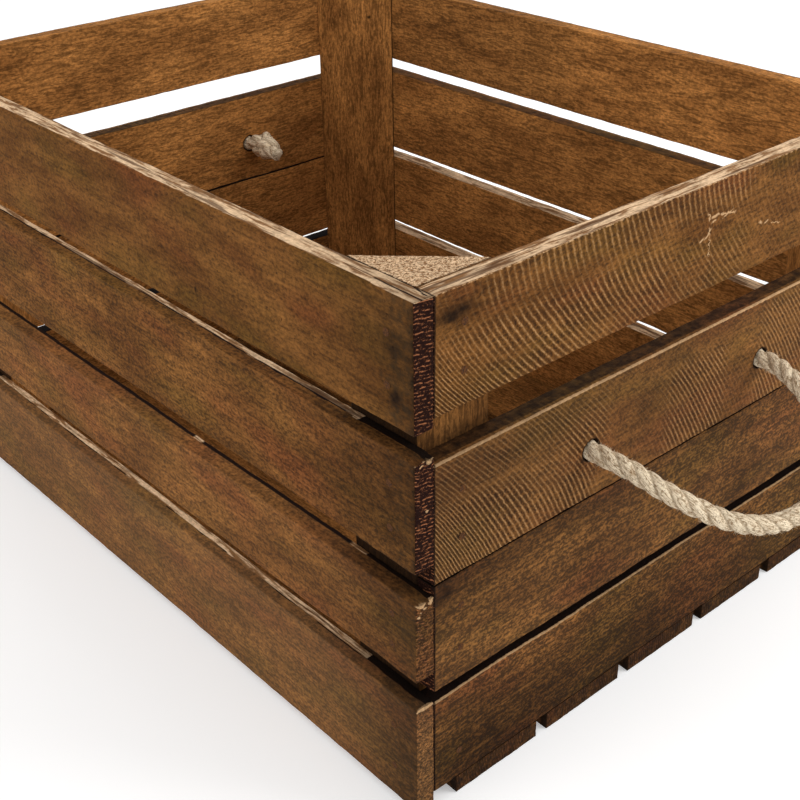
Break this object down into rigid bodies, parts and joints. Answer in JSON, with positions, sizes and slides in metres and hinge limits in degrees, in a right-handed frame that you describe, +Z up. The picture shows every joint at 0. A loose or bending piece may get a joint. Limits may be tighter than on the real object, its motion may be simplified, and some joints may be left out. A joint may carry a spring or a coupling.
{
  "type": "kindling box",
  "caption": "Open rectangular crate of rough wooden slats on corner posts, with hand gaps and a knotted rope handle at each end, for firewood and kindling.",
  "frame": {"origin": "on the floor, below the middle of the box", "axes": "+X along the length towards the right end, whose rope handle the picture shows; +Y across towards the back; +Z up"},
  "size_m": [0.997, 0.57, 0.44],
  "materials": {
    "board_wood": "rough-sawn softwood with a dark oak stain, worn pale along its arrises",
    "post_wood": "rough-sawn softwood with a thinner brown stain",
    "slat_wood": "rough-sawn softwood with a dark oak stain",
    "nail_steel": "dull wire nails darkened by the stain",
    "jute_rope": "natural three-strand laid rope, slightly hairy"
  },
  "bodies": {
    "crate": {"front_left_post": "post_wood", "front_right_post": "post_wood", "back_left_post": "post_wood", "back_right_post": "post_wood", "front_board_1": "board_wood", "front_board_2": "board_wood", "front_board_3": "board_wood", "front_board_4": "board_wood", "back_board_1": "board_wood", "back_board_2": "board_wood", "back_board_3": "board_wood", "back_board_4": "board_wood", "right_board_1": "board_wood", "right_board_2": "board_wood", "right_board_3": "board_wood", "right_board_4": "board_wood", "left_board_1": "board_wood", "left_board_2": "board_wood", "left_board_3": "board_wood", "left_board_4": "board_wood", "base_slat_1": "slat_wood", "base_slat_2": "slat_wood", "base_slat_3": "slat_wood", "base_slat_4": "slat_wood", "base_slat_5": "slat_wood", "front_nails": "nail_steel", "back_nails": "nail_steel", "right_nails": "nail_steel", "left_nails": "nail_steel", "base_nails": "nail_steel", "right_rope_knots": "jute_rope", "left_rope_knots": "jute_rope"},
    "right_handle": {"right_rope_handle": "jute_rope"},
    "left_handle": {"left_rope_handle": "jute_rope"}
  },
  "joints": [
    {"name": "right_handle_swing", "type": "hinge", "parent": "crate", "child": "right_handle", "pos_m": [0.3825, 0, 0.26], "axis": [0, -1, 0], "range_deg": [-65, 90]},
    {"name": "left_handle_swing", "type": "hinge", "parent": "crate", "child": "left_handle", "pos_m": [-0.3825, 0, 0.2675], "axis": [0, 1, 0], "range_deg": [-65, 90]}
  ]
}
